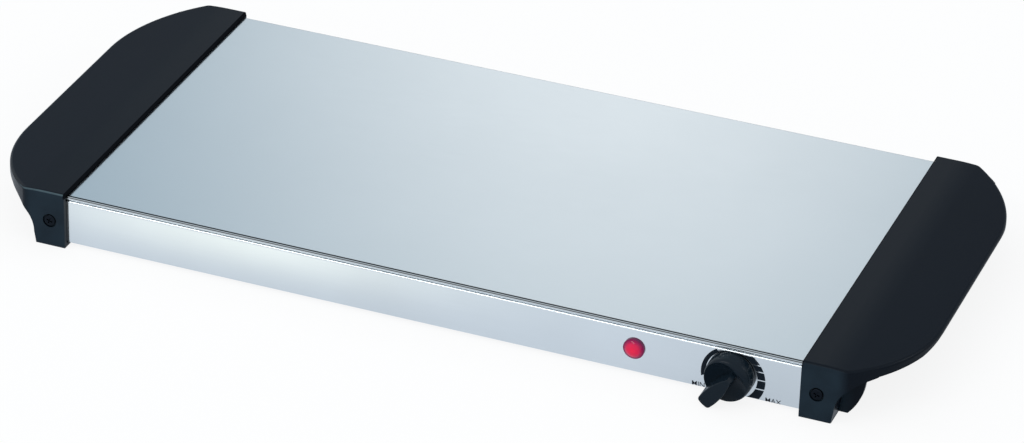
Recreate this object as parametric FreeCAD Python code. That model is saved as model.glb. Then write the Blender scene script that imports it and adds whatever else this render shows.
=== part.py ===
import FreeCAD, Part
import math
import os

V = FreeCAD.Vector

# All sizes are millimetres. While it is being built, x runs to the right seen from the front,
# y runs to the back from the front panel's face, and z runs up from the table.
# Every shape is moved at the end, so that the origin is at the bottom centre of the whole.

# Main sizes
inner_span = 500.0
plate_depth = 277.0
plate_top = 36.6
pan_bottom = 2.5
sheet = 0.8
fit_gap = 0.3
socket_depth = 18.0
right_end = inner_span / 2
body_end = right_end + socket_depth
joggle_depth = 0.3
joggle_start = 0.3
pan_floor = pan_bottom + sheet

# End caps
cap_proud = 3.3
cap_rise = 3.0
cap_wall = cap_proud - fit_gap
cap_reach = 66.7
cap_nose_start = 26.6
cap_nose_radius = 6.0
cap_sweep_radius = 102.0
cap_edge_radius = 2.0
droop_start = 14.0
droop_radius = 160.0
droop_slope = math.radians(5.2)
cap_top = plate_top + cap_rise
skin_bottom = plate_top + fit_gap
lip_bottom = plate_top - 6.2
lip_slope_start = 50.0
lip_slope = math.radians(5.5)
rib_inset = 9.0
cap_front = -cap_proud
cap_back = plate_depth + cap_proud
leg_depth = 16.0
foot_width = 20.7
shin_width = 22.0
cove_start = 8.0
cove_radius = 21.5
cove_reach = 44.5
cove_slope = math.radians(10.0)
web_thickness = 2.3
heel_rib = 3.0
closing_wall = 2.6

# Cap screws, M4 pan heads in round recesses
screw_inset = 10.65
screw_height = 18.3
screw_radius = 2.0
screw_head_radius = 3.9
screw_head_height = 1.6
recess_radius = 4.8
recess_depth = 1.5
nut_size = 8.0
nut_thickness = 3.2

# Rolled front and back edges of the plate
roll_radius = 1.25
roll_return = 10.0

# Knob and its thermostat
dial_inset = 45.6
dial_x = right_end - dial_inset
dial_z = 17.5
knob_radius = 15.5
knob_draft = 0.3
skirt_height = 2.4
dome_height = 11.4
rim_round = 4.2
knob_face = 18.0
knob_gap = 0.6
knob_recess_radius = 10.6
knob_recess_depth = 4.4
wing_angle = 231.0
wing_corner = 2.2
scoop_radius = 21.6
scoop_depth = 4.5
scoop_along = 2.6
scoop_across = 3.9
shaft_radius = 3.0
shaft_front = 10.0
running_gap = 0.05
bush_radius = 4.9
stack_front = 14.0
stack_depth = 12.0
stack_half_width = 13.5
stack_half_height = 6.0
blade_offset = 9.0
blade_half_width = 2.4
blade_back = stack_front + stack_depth + 6.0

# Indicator lamp
lamp_inset = 109.3
lamp_x = right_end - lamp_inset
lamp_z = 20.0
lens_radius = 7.0
lamp_tube_radius = 4.9
lamp_tube_length = 14.0
lamp_back = 21.0

# Heater under the plate
spreader_thickness = 1.5
spreader_end_inset = 6.0
spreader_side_inset = 12.0
spreader_bottom = plate_top - sheet - spreader_thickness
spreader_half = right_end - spreader_end_inset
heater_end_inset = 22.0
heater_half_length = right_end - heater_end_inset
heater_front = 47.0
heater_back_inset = 23.0
heater_back = plate_depth - heater_back_inset
element_radius = 3.1
element_z = spreader_bottom - element_radius
element_rows = 6
element_front_margin = 13.0
element_back_margin = 14.0
element_first_y = heater_front + element_front_margin
element_last_y = heater_back - element_back_margin
element_pitch = (element_last_y - element_first_y) / (element_rows - 1)
element_run_inset = 50.0
element_half_run = right_end - element_run_inset
element_end_inset = 18.0
element_end_x = right_end - element_end_inset
pin_radius = 1.0
pin_length = 8.0
clip_gap = 0.1
clip_half_width = 4.0
clip_first_inset = 120.0
clip_second_inset = 190.0
rivet_offset = 7.5
rivet_radius = 1.5
rivet_gap = 0.05
rivet_head_radius = 2.6
rivet_head_height = 0.7
shield_sheet = 0.6
shield_gap = 0.2
insulation_thickness = 6.0
insulation_top = element_z - element_radius - clip_gap - sheet - fit_gap
shield_bottom = insulation_top - insulation_thickness - shield_sheet
bar_half_width = 12.0
bar_foot = 9.0
bar_count = 3
bar_first_inset = 100.0
bar_last_inset = 140.0

# One-shot cut-out beside the element
fuse_inset = 10.0
fuse_x = right_end - fuse_inset
fuse_radius = 2.0
fuse_length = 12.0
fuse_front = heater_front - 21.0
fuse_back = fuse_front + fuse_length
fuse_lead_length = 6.0
fuse_tail_length = 2.0
fuse_clip_sheet = 0.6

# Cord entry and terminals at the back
gland_inset = 84.0
gland_x = right_end - gland_inset
gland_z = 13.0
gland_bore = 3.6
gland_radius = 6.5
gland_flange_radius = 9.0
gland_flange_height = 3.1
gland_neck = 11.0
wire_radius = 1.2
lamp_wire_radius = 0.9
wire_gap = 0.2
neutral_bend_gap = 11.0
return_bend_gap = 8.0
earth_bend_gap = 6.0
lamp_return_reach = 8.8
lamp_feed_reach = 14.8
fuse_bend_side = 8.0
fuse_lead_bend = 2.8
fuse_tail_bend = 9.8
block_inset = 104.0
block_x = right_end - block_inset
block_back_inset = 45.0
block_y = plate_depth - block_back_inset
block_depth = 18.0
block_height = 12.0
pole_count = 4
pole_pitch = 10.0
pole_height = 5.0
pole_z = pan_floor + pole_height
earth_inset = 38.0
earth_back_inset = 31.0
earth_x = right_end - earth_inset
earth_y = plate_depth - earth_back_inset
earth_tag_radius = 4.0
earth_tag_sheet = 1.0
riser_inset = 4.5
riser_x = right_end - riser_inset

# Openings in the pan's floor
vent_count = 8
vent_pitch = 40.0
vent_length = 26.0
vent_width = 3.2
vent_end_inset = 35.0
vent_front_inset = 24.0
vent_back_inset = 13.0


def block(x0, x1, y0, y1, z0, z1):
    return Part.makeBox(x1 - x0, y1 - y0, z1 - z0, V(x0, y0, z0))


def rod(radius, start, end):
    run = end - start
    return Part.makeCylinder(radius, run.Length, start, run)


def taper(radius0, radius1, start, end):
    run = end - start
    return Part.makeCone(radius0, radius1, run.Length, start, run)


def line(a, b):
    return Part.LineSegment(a, b).toShape()


def arc(a, m, b):
    return Part.Arc(a, m, b).toShape()


def extruded(edges, push):
    return Part.Face(Part.Wire(edges)).extrude(push)


def polygon(points, push):
    return Part.Face(Part.makePolygon(points + [points[0]])).extrude(push)


def joined(first, others):
    shape = first.fuse(others)
    return shape.removeSplitter()


def mirrored_x(shape):
    return shape.mirror(V(0, 0, 0), V(1, 0, 0))


def mirrored_y(shape):
    return shape.mirror(V(0, plate_depth / 2, 0), V(0, 1, 0))


def tube(points, bend, radius):
    # A round bar along straight runs that are joined by tangent arcs of one bend radius.
    edges = []
    last = points[0]
    for i in range(1, len(points) - 1):
        corner = points[i]
        into = (corner - points[i - 1]).normalize()
        out = (points[i + 1] - corner).normalize()
        turn = into.getAngle(out)
        reach = bend * math.tan(turn / 2)
        begin = corner - into * reach
        end = corner + out * reach
        inward = (out - into).normalize()
        centre = corner + inward * (bend / math.cos(turn / 2))
        middle = centre - inward * bend
        if (begin - last).Length > 1e-6:
            edges.append(line(last, begin))
        edges.append(arc(begin, middle, end))
        last = end
    edges.append(line(last, points[-1]))
    path = Part.Wire(edges)
    ring = Part.Wire([Part.makeCircle(radius, points[0], points[1] - points[0])])
    return path.makePipeShell([ring], True, True)


def rolled_edge_outline(x, y_edge, inward):
    # The folded sheet section at one long edge, as a list of edges from the top skin round to its underside.
    mid = plate_top - roll_radius
    small = roll_radius - sheet
    y_roll = y_edge + inward * roll_radius
    y_end = y_edge + inward * roll_return
    y_small = y_roll - inward * small
    low = plate_top - 2 * roll_radius
    return [
        arc(V(x, y_roll, plate_top), V(x, y_edge, mid), V(x, y_roll, low)),
        line(V(x, y_roll, low), V(x, y_end, low)),
        line(V(x, y_end, low), V(x, y_end, low + sheet)),
        line(V(x, y_end, low + sheet), V(x, y_roll, low + sheet)),
        arc(V(x, y_roll, low + sheet), V(x, y_small, mid), V(x, y_roll, plate_top - sheet)),
    ]


def top_plate():
    x = -body_end
    front = roll_radius
    back = plate_depth - roll_radius
    edges = rolled_edge_outline(x, 0, 1)
    edges.append(line(V(x, front, plate_top - sheet), V(x, back, plate_top - sheet)))
    edges += list(reversed(rolled_edge_outline(x, plate_depth, -1)))
    edges.append(line(V(x, back, plate_top), V(x, front, plate_top)))
    ordered = Part.__sortEdges__(edges)
    plate = extruded(ordered, V(2 * body_end, 0, 0))
    # The ends step down where they slide under the caps, so the hot surface ends at the caps.
    for side in (-1, 1):
        a = side * (right_end - joggle_start)
        b = side * body_end
        low = plate_top - sheet - joggle_depth
        plate = plate.fuse(block(min(a, b), max(a, b), front, back, low, plate_top - sheet))
        b = side * (body_end + 1)
        plate = plate.cut(block(min(a, b), max(a, b), -1, plate_depth + 1, plate_top - joggle_depth, plate_top + 1))
    return plate.removeSplitter()


def channel_section(inset, top, bottom, top_radius, bottom_radius):
    # A box along x whose long edges are rounded, used for the outside and the inside of the pan.
    box = block(-body_end - inset, body_end + inset, inset, plate_depth - inset, bottom, top)
    high = [e for e in box.Edges if long_edge(e) and e.CenterOfMass.z > top - 0.01]
    low = [e for e in box.Edges if long_edge(e) and e.CenterOfMass.z < bottom + 0.01]
    box = box.makeFillet(top_radius, high)
    low = [e for e in box.Edges if long_edge(e) and e.CenterOfMass.z < bottom + 0.01
           and min(abs(e.CenterOfMass.y - inset), abs(e.CenterOfMass.y - plate_depth + inset)) < 0.01]
    return box.makeFillet(bottom_radius, low)


def long_edge(edge):
    return edge.BoundBox.XLength > 2 * inner_span / 2 and edge.BoundBox.YLength < 0.01


def slot_cut(x, y, length, width):
    low = pan_bottom - 1
    high = pan_bottom + sheet + 1
    half = length / 2 - width / 2
    cut = block(x - half, x + half, y - width / 2, y + width / 2, low, high)
    for side in (-1, 1):
        end = rod(width / 2, V(x + side * half, y, low), V(x + side * half, y, high))
        cut = cut.fuse(end)
    return cut


def screw_places():
    places = []
    for side in (-1, 1):
        for facing in (-1, 1):
            places.append((side * (inner_span / 2 + screw_inset), facing))
    return places


def wall_y(facing, depth):
    # A distance behind the front panel's face, or the same distance in front of the back panel's face.
    return depth if facing < 0 else plate_depth - depth


def housing_pan():
    top = plate_top - 2 * roll_radius - fit_gap
    pan = channel_section(0.0, top, pan_bottom, 1.2, 2.0)
    pan = pan.cut(channel_section(sheet, top - sheet, pan_bottom + sheet, 0.4, 1.2))
    flange = 12.0
    opening = block(-body_end - 1, body_end + 1, flange, plate_depth - flange, top - 2 * sheet, top + 1)
    cuts = [opening]
    cuts.append(rod(bush_radius + 0.2, V(dial_x, -1, dial_z), V(dial_x, 2, dial_z)))
    cuts.append(rod(lamp_tube_radius + 0.2, V(lamp_x, -1, lamp_z), V(lamp_x, 2, lamp_z)))
    cuts.append(rod(gland_radius + 0.1, V(gland_x, plate_depth - 2, gland_z), V(gland_x, plate_depth + 1, gland_z)))
    for x, facing in screw_places():
        cuts.append(rod(screw_radius + 0.25, V(x, wall_y(facing, -1), screw_height), V(x, wall_y(facing, 2), screw_height)))
    for i in range(vent_count):
        for y in (vent_front_inset, plate_depth - vent_back_inset):
            x = -right_end + vent_end_inset + vent_pitch * i
            cuts.append(slot_cut(x, y, vent_length, vent_width))
    cuts.append(rod(screw_radius + 0.2, V(earth_x, earth_y, pan_bottom - 1), V(earth_x, earth_y, pan_floor + 1)))
    return pan.cut(cuts)


def end_walls():
    walls = []
    top = plate_top - 2 * roll_radius - fit_gap - sheet - fit_gap
    low = pan_bottom + sheet
    front = sheet + fit_gap + 1.0
    back = plate_depth - front
    for side in (-1, 1):
        x = side * (inner_span / 2)
        wall = block(min(x, x - side * sheet), max(x, x - side * sheet), front, back, low, top)
        foot = block(min(x, x - side * 8), max(x, x - side * 8), front, back, low, low + sheet)
        wall = joined(wall, [foot])
        middle_z = (low + top) / 2
        for i in range(7):
            y = plate_depth / 2 + 26.0 * (i - 3)
            wall = wall.cut(rod(3.0, V(x - 2 * side, y, middle_z), V(x + 2 * side, y, middle_z)))
        walls.append(wall)
    return Part.makeCompound(walls)


def cap_outline(inset, start_x, z):
    # The cap's plan from above: a straight front, a short nose arc, a long sweep, a straight side, and its mirror.
    centre1 = V(inner_span / 2 + cap_nose_start, cap_front + cap_nose_radius, z)
    shift = cap_reach - cap_sweep_radius - cap_nose_start
    turn = math.asin(shift / (cap_nose_radius - cap_sweep_radius))
    centre2 = centre1 + V(math.sin(turn), -math.cos(turn), 0) * (cap_nose_radius - cap_sweep_radius)
    middle_y = plate_depth / 2

    def flip(p):
        return V(p.x, 2 * middle_y - p.y, p.z)

    def around(centre, radius, angle):
        return centre + V(math.sin(angle), -math.cos(angle), 0) * radius

    nose = cap_nose_radius - inset
    sweep = cap_sweep_radius - inset
    start = V(start_x, cap_front + inset, z)
    a = around(centre1, nose, 0)
    b = around(centre1, nose, turn / 2)
    c = around(centre1, nose, turn)
    d = around(centre2, sweep, (turn + math.pi / 2) / 2)
    e = around(centre2, sweep, math.pi / 2)
    edges = [line(start, a), arc(a, b, c), arc(c, d, e), line(e, flip(e))]
    edges += [arc(flip(e), flip(d), flip(c)), arc(flip(c), flip(b), flip(a))]
    edges += [line(flip(a), flip(start)), line(flip(start), start)]
    return edges


def cap_prism(inset, start_x, low, high):
    return extruded(cap_outline(inset, start_x, low), V(0, 0, high - low))


def cove_points(y):
    # The line of the leg's outer side seen from the front, from the foot up to the wing's lip.
    x = inner_span / 2
    turn = math.pi / 2 - cove_slope
    centre = V(x + shin_width + cove_radius, y, cove_start)
    begin = V(x + shin_width, y, cove_start)
    middle = centre + V(-math.cos(turn / 2), 0, math.sin(turn / 2)) * cove_radius
    end = centre + V(-math.cos(turn), 0, math.sin(turn)) * cove_radius
    rise = (cove_reach - (end.x - x)) * math.tan(cove_slope)
    top = V(x + cove_reach, y, end.z + rise)
    return V(x + foot_width, y, 0), begin, middle, end, top


def leg_region(depth, start_x):
    y = cap_front - 1
    foot, begin, middle, end, top = cove_points(y)
    low = V(start_x, y, 0)
    high = V(start_x, y, skin_bottom)
    corner = V(top.x + (skin_bottom - top.z) / math.tan(cove_slope), y, skin_bottom)
    edges = [line(low, foot), line(foot, begin), arc(begin, middle, end), line(end, corner)]
    edges += [line(corner, high), line(high, low)]
    return extruded(edges, V(0, depth + 1, 0))


def cove_web():
    y = cap_front
    foot, begin, middle, end, top = cove_points(y)
    t = web_thickness
    turn = math.pi / 2 - cove_slope
    centre = V(begin.x + cove_radius, y, begin.z)
    outer = cove_radius + t
    begin2 = centre + V(-1, 0, 0) * outer
    middle2 = centre + V(-math.cos(turn / 2), 0, math.sin(turn / 2)) * outer
    end2 = centre + V(-math.cos(turn), 0, math.sin(turn)) * outer
    normal = V(-math.sin(cove_slope), 0, math.cos(cove_slope))
    tip = V(top.x + (skin_bottom - top.z) / math.tan(cove_slope), y, skin_bottom)
    tip2 = tip + normal * t
    foot2 = V(foot.x - t, y, 0)
    edges = [line(foot, begin), arc(begin, middle, end), line(end, tip), line(tip, tip2)]
    edges += [line(tip2, end2), arc(end2, middle2, begin2), line(begin2, foot2), line(foot2, foot)]
    web = extruded(edges, V(0, leg_depth, 0))
    return web.common(cap_prism(0.0, inner_span / 2, 0, skin_bottom))


def heel_plate():
    # The rib behind each leg: its outer edge bulges from the table up to the underside of the wing.
    x = inner_span / 2
    y = cap_front + leg_depth
    inner = V(x + socket_depth + fit_gap, y, 0)
    a = V(x + 26.6, y, 0)
    b = V(x + 33.2, y, 10.1)
    c = V(x + 36.6, y, 22.9)
    d = V(x + 38.5, y, lip_bottom)
    e = V(x + 38.5, y, skin_bottom)
    f = V(inner.x, y, skin_bottom)
    edges = [line(inner, a), arc(a, b, c), line(c, d), line(d, e), line(e, f), line(f, inner)]
    return extruded(edges, V(0, heel_rib, 0))


def cap_leg():
    x = inner_span / 2
    ring = cap_prism(0.0, x, 0, skin_bottom).cut(cap_prism(cap_wall, x - 1, -1, skin_bottom + 1))
    wall = ring.common(leg_region(leg_depth, x))
    foot = block(x, x + foot_width, cap_front + 1, cap_front + leg_depth + heel_rib, 0, pan_bottom - fit_gap)
    inner_wall = block(x + socket_depth + fit_gap, x + socket_depth + fit_gap + closing_wall,
                       cap_front + 1, cap_front + leg_depth + heel_rib, 0, skin_bottom)
    return joined(wall, [foot, inner_wall, cove_web(), heel_plate()])


def drooped(level):
    # All the room below the wing's top line: level at the inside, then an arc, then a gentle fall to the outside.
    x = inner_span / 2
    y = cap_front - 2
    start = V(x + droop_start, y, level)
    centre = start - V(0, 0, droop_radius)
    middle = centre + V(math.sin(droop_slope / 2), 0, math.cos(droop_slope / 2)) * droop_radius
    end = centre + V(math.sin(droop_slope), 0, math.cos(droop_slope)) * droop_radius
    far = end + V(math.cos(droop_slope), 0, -math.sin(droop_slope)) * cap_reach
    edges = [line(V(x - 2, y, level), start), arc(start, middle, end), line(end, far)]
    edges += [line(far, V(far.x, y, -2)), line(V(far.x, y, -2), V(x - 2, y, -2)), line(V(x - 2, y, -2), V(x - 2, y, level))]
    return extruded(edges, V(0, plate_depth + 2 * cap_proud + 4, 0))


def lip_relief():
    # What the lip lacks below: its lower edge rises from the legs to the middle of the wing's side.
    x = inner_span / 2
    first = cap_front + lip_slope_start
    middle_y = plate_depth / 2
    peak = lip_bottom + (middle_y - first) * math.tan(lip_slope)
    points = [V(x - 2, first, lip_bottom), V(x - 2, middle_y, peak), V(x - 2, 2 * middle_y - first, lip_bottom)]
    points += [V(x - 2, 2 * middle_y - first, 0), V(x - 2, first, 0)]
    return polygon(points, V(cap_reach + 4, 0, 0))


def wing():
    x = inner_span / 2
    top = cap_prism(0.0, x, lip_bottom, cap_top).common(drooped(cap_top))
    rim = [e for e in top.Edges if e.BoundBox.ZMin > cap_top - 6 and e.CenterOfMass.x > x + 1 and on_rim(e)]
    top = top.makeFillet(cap_edge_radius, rim)
    inner = [e for e in top.Edges if abs(e.CenterOfMass.z - cap_top) < 0.01 and abs(e.CenterOfMass.x - x) < 0.01]
    top = top.makeFillet(0.8, inner)
    hollow = cap_prism(cap_wall, x - 1, lip_bottom - 1, skin_bottom).common(drooped(skin_bottom))
    skin = drooped(cap_top).cut(drooped(skin_bottom))
    relief = lip_relief().cut(skin)
    return top.cut(hollow).cut(relief)


def on_rim(edge):
    # True for an edge of the wing's top skin that lies on the cap's outline from above.
    middle = edge.valueAt((edge.FirstParameter + edge.LastParameter) / 2)
    side = cap_prism(0.0, inner_span / 2, middle.z - 1, middle.z + 1)
    inside = cap_prism(0.01, inner_span / 2 + 0.01, middle.z - 1, middle.z + 1)
    return side.isInside(middle, 0.001, True) and not inside.isInside(middle, 0.0001, False)


def end_cap():
    x = inner_span / 2
    leg = cap_leg().common(drooped(cap_top - 0.5))
    wall_x = x + socket_depth + fit_gap
    closing = block(wall_x, wall_x + closing_wall, cap_front + 2, cap_back - 2, 1.0, skin_bottom)
    ribs = []
    for i in range(5):
        y = 46.5 + 46.0 * i
        rib = block(wall_x + 1, x + cap_reach - rib_inset, y - 0.9, y + 0.9, skin_bottom - 5, skin_bottom + 0.5)
        ribs.append(rib)
    spine = block(x + 41.1, x + 42.9, cap_front + leg_depth + 1, cap_back - leg_depth - 1, skin_bottom - 4, skin_bottom + 0.5)
    ribs.append(spine)
    room = drooped(skin_bottom + 0.5)
    ribs = [rib.common(room) for rib in ribs]
    cap = joined(wing(), [leg, mirrored_y(leg), closing] + ribs)
    sx = x + screw_inset
    for facing in (-1, 1):
        face = wall_y(facing, -cap_proud)
        floor = wall_y(facing, -cap_proud + recess_depth)
        cap = cap.cut(rod(recess_radius, V(sx, wall_y(facing, -cap_proud - 1), screw_height), V(sx, floor, screw_height)))
        cap = cap.cut(rod(screw_radius + 0.25, V(sx, face, screw_height), V(sx, wall_y(facing, 1), screw_height)))
    return cap


def cap_screws():
    screws = []
    for x, facing in screw_places():
        seat = wall_y(facing, -cap_proud + recess_depth)
        face = wall_y(facing, -cap_proud + recess_depth - screw_head_height)
        head = rod(screw_head_radius, V(x, seat, screw_height), V(x, face, screw_height))
        crown = [e for e in head.Edges if abs(e.CenterOfMass.y - face) < 0.01]
        head = head.makeFillet(0.9, crown)
        shank = rod(screw_radius, V(x, seat, screw_height), V(x, wall_y(facing, 7.5), screw_height))
        screw = head.fuse(shank)
        inner = wall_y(facing, -cap_proud + recess_depth - screw_head_height + 0.9)
        low = min(face, inner) - (0.5 if facing < 0 else 0)
        high = max(face, inner) + (0 if facing < 0 else 0.5)
        cross = block(x - 2.1, x + 2.1, low, high, screw_height - 0.45, screw_height + 0.45)
        cross = cross.fuse(block(x - 0.45, x + 0.45, low, high, screw_height - 2.1, screw_height + 2.1))
        cross.rotate(V(x, 0, screw_height), V(0, 1, 0), 22)
        screws.append(screw.cut(cross))
    return Part.makeCompound(screws)


def cap_nuts():
    nuts = []
    for x, facing in screw_places():
        near = wall_y(facing, sheet)
        far = wall_y(facing, sheet + nut_thickness)
        half = nut_size / 2
        nut = block(x - half, x + half, min(near, far), max(near, far), screw_height - half, screw_height + half)
        nuts.append(nut.cut(rod(screw_radius + 0.05, V(x, near - 9, screw_height), V(x, near + 9, screw_height))))
    return Part.makeCompound(nuts)


def indicator_lens():
    x = lamp_x
    z = lamp_z
    edges = [
        arc(V(x, -4.3, z), V(x + 3.6, -3.5, z), V(x + 6.1, -1.5, z)),
        line(V(x + 6.1, -1.5, z), V(x + lens_radius, -1.2, z)),
        line(V(x + lens_radius, -1.2, z), V(x + lens_radius, 0, z)),
        line(V(x + lens_radius, 0, z), V(x + lamp_tube_radius, 0, z)),
        line(V(x + lamp_tube_radius, 0, z), V(x + lamp_tube_radius, lamp_tube_length, z)),
        line(V(x + lamp_tube_radius, lamp_tube_length, z), V(x + 3.6, lamp_tube_length, z)),
        line(V(x + 3.6, lamp_tube_length, z), V(x + 3.6, -1.0, z)),
        line(V(x + 3.6, -1.0, z), V(x, -2.6, z)),
        line(V(x, -2.6, z), V(x, -4.3, z)),
    ]
    return Part.Face(Part.Wire(edges)).revolve(V(x, 0, z), V(0, 1, 0), 360)


def neon_lamp():
    glass = rod(3.0, V(lamp_x, 0.5, lamp_z), V(lamp_x, 12, lamp_z))
    nose = [e for e in glass.Edges if abs(e.CenterOfMass.y - 0.5) < 0.01]
    glass = glass.makeFillet(1.5, nose)
    base = rod(3.4, V(lamp_x, 12, lamp_z), V(lamp_x, lamp_back, lamp_z))
    return joined(glass, [base])


def lamp_clip():
    washer = rod(8.2, V(lamp_x, sheet, lamp_z), V(lamp_x, sheet + 0.6, lamp_z))
    washer = washer.cut(rod(lamp_tube_radius + 0.05, V(lamp_x, 0, lamp_z), V(lamp_x, 3, lamp_z)))
    for i in range(6):
        notch = block(lamp_x + 4.6, lamp_x + 6.8, 0, 3, lamp_z - 0.6, lamp_z + 0.6)
        notch.rotate(V(lamp_x, 0, lamp_z), V(0, 1, 0), 60 * i)
        washer = washer.cut(notch)
    return washer


def wing_outline(depth, tip, half, belly, belly_half, tail, tail_half):
    # The grip's outline in front of the panel, pointing to -x: leaf-shaped sides and a rounded tip.
    def at(along, across):
        return V(dial_x - along, -depth, dial_z + across)

    c = wing_corner
    edges = [line(at(-tail, -tail_half), at(-tail, tail_half))]
    edges.append(arc(at(-tail, tail_half), at(belly, belly_half), at(tip - c, half)))
    edges.append(arc(at(tip - c, half), at(tip - 0.3 * c, half - 0.4 * c), at(tip - 0.1 * c, half - c)))
    edges.append(arc(at(tip - 0.1 * c, half - c), at(tip, 0), at(tip - 0.1 * c, c - half)))
    edges.append(arc(at(tip - 0.1 * c, c - half), at(tip - 0.3 * c, 0.4 * c - half), at(tip - c, -half)))
    edges.append(arc(at(tip - c, -half), at(belly, -belly_half), at(-tail, -tail_half)))
    return Part.Wire(edges)


def knob_drum():
    x = dial_x
    z = dial_z
    wide = knob_radius
    slim = knob_radius - knob_draft
    turn = rim_round * (1 - math.sqrt(0.5))
    shoulder = dome_height - rim_round
    edges = [
        line(V(x, -knob_gap, z), V(x + wide, -knob_gap, z)),
        line(V(x + wide, -knob_gap, z), V(x + wide, -skirt_height, z)),
        line(V(x + wide, -skirt_height, z), V(x + slim, -shoulder, z)),
        arc(V(x + slim, -shoulder, z), V(x + slim - turn, turn - dome_height, z),
            V(x + slim - rim_round, -dome_height, z)),
        line(V(x + slim - rim_round, -dome_height, z), V(x, -dome_height, z)),
        line(V(x, -dome_height, z), V(x, -knob_gap, z)),
    ]
    return Part.Face(Part.Wire(edges)).revolve(V(x, 0, z), V(0, 1, 0), 360)


def knob():
    x = dial_x
    z = dial_z
    drum = knob_drum()
    # A shallow round scoop on both sides of the grip leaves room for the fingers.
    scoop_y = scoop_depth - dome_height - scoop_radius
    for side in (-1, 1):
        middle = V(x - scoop_along, scoop_y, z + side * scoop_across)
        drum = drum.cut(Part.makeSphere(scoop_radius, middle))
    base = wing_outline(skirt_height + 1.0, 17.8, 4.9, 0.5, 4.8, 9.6, 1.7)
    front = wing_outline(knob_face, 19.6, 4.7, 3.0, 4.3, 6.0, 1.4)
    wing = Part.makeLoft([base, front], True, False)
    rim = [e for e in wing.Edges if abs(e.CenterOfMass.y + knob_face) < 0.01]
    wing = wing.makeFillet(0.8, rim)
    whole = drum.fuse([wing])
    whole.rotate(V(x, 0, z), V(0, 1, 0), 180 - wing_angle)
    whole = whole.cut(rod(knob_recess_radius, V(x, 0, z), V(x, -knob_recess_depth, z)))
    bore = rod(shaft_radius + 0.04, V(x, 0, z), V(x, -shaft_front - 0.4, z))
    key = block(x - 4, x + 4, -shaft_front - 1, -knob_recess_depth, z + 1.6, z + 4)
    return whole.cut(bore.cut(key))


def knob_shaft():
    x = dial_x
    z = dial_z
    shaft = rod(shaft_radius, V(x, 12.0, z), V(x, -shaft_front, z))
    flat = block(x - 4, x + 4, -shaft_front - 1, -knob_recess_depth + 0.1, z + 1.55, z + 4)
    shaft = shaft.cut(flat)
    cam = rod(6.0, V(x, 7.4, z), V(x, 9.4, z))
    stop = block(x - 1.2, x + 1.2, 7.4, 9.4, z + 4.0, z + 7.6)
    return joined(shaft, [cam, stop])


def thermostat_frame():
    x = dial_x
    z = dial_z
    plate = block(x - 15, x + 15, sheet + fit_gap, sheet + fit_gap + 1.2, z - 10, z + 10)
    shoulder = rod(7.0, V(x, sheet, z), V(x, sheet + fit_gap + 1.2, z))
    bush = rod(bush_radius, V(x, -3.9, z), V(x, 7.0, z))
    bracket = joined(plate, [shoulder, bush])
    for side in (-1, 1):
        edge = x + side * 15
        wing = block(min(edge, edge - side * 1.2), max(edge, edge - side * 1.2), 1.1, 26.0, z - 7, z + 7)
        bracket = joined(bracket, [wing])
    return bracket.cut(rod(shaft_radius + running_gap, V(x, -5, z), V(x, 10, z)))


def bush_nut():
    x = dial_x
    z = dial_z
    corners = []
    for i in range(6):
        a = math.radians(60 * i)
        corners.append(V(x + 8.1 * math.cos(a), -0.0, z + 8.1 * math.sin(a)))
    nut = polygon(corners, V(0, -2.6, 0))
    return nut.cut(rod(bush_radius + 0.03, V(x, 1, z), V(x, -4, z)))


def blade_slots(side):
    # The two openings, low and high, in which one side's blades sit.
    left = dial_x + side * blade_offset - blade_half_width
    right = left + 2 * blade_half_width
    return [(left, right, dial_z - 3.0, dial_z - 2.2), (left, right, dial_z + 1.2, dial_z + 2.0)]


def thermostat_stack():
    x = dial_x
    z = dial_z
    back = stack_front + stack_depth
    wide = stack_half_width
    high = stack_half_height
    stack = block(x - wide, x + wide, stack_front, back, z - high, z + high)
    for side in (-1, 1):
        for left, right, low, top in blade_slots(side):
            stack = stack.cut(block(left - 0.2, right + 0.2, stack_front - 1, back + 1, low - 0.2, top + 0.2))
    return stack


def thermostat_blades():
    blades = []
    for side in (-1, 1):
        for left, right, low, top in blade_slots(side):
            blades.append(block(left, right, stack_front + 0.5, blade_back, low, top))
    return Part.makeCompound(blades)


def heat_spreader():
    side = spreader_side_inset
    top = spreader_bottom + spreader_thickness
    plate = block(-spreader_half, spreader_half, side, plate_depth - side, spreader_bottom, top)
    return plate.cut([rivet_hole(x, y) for x, y in rivet_places()])


def rivet_hole(x, y):
    return rod(rivet_radius + rivet_gap, V(x, y, spreader_bottom - 5), V(x, y, plate_top))


def element_row_y(row):
    return element_first_y + element_pitch * row


def clip_places():
    places = []
    for row in range(element_rows):
        for x in (-right_end + clip_first_inset, right_end - clip_second_inset):
            places.append((x, element_row_y(row)))
    return places


def rivet_places():
    places = []
    for x, y in clip_places():
        places.append((x, y - rivet_offset))
        places.append((x, y + rivet_offset))
    return places


def heating_element():
    points = [V(element_end_x, element_row_y(0), element_z)]
    half = element_pitch / 2
    reach = element_half_run + half
    for row in range(element_rows):
        side = -1 if row % 2 == 0 else 1
        y = element_row_y(row)
        if row > 0:
            points.append(V(-side * reach, y, element_z))
        if row < element_rows - 1:
            points.append(V(side * reach, y, element_z))
    points.append(V(element_end_x, element_row_y(element_rows - 1), element_z))
    return tube(points, half - 0.001, element_radius)


def element_pins():
    pins = []
    for row in (0, element_rows - 1):
        y = element_row_y(row)
        seal_end = V(element_end_x + 3, y, element_z)
        bushing = taper(element_radius - 0.2, 2.2, V(element_end_x, y, element_z), seal_end)
        pin = rod(pin_radius, V(element_end_x, y, element_z), V(element_end_x + pin_length, y, element_z))
        pins.append(joined(bushing, [pin]))
    return Part.makeCompound(pins)


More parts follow.
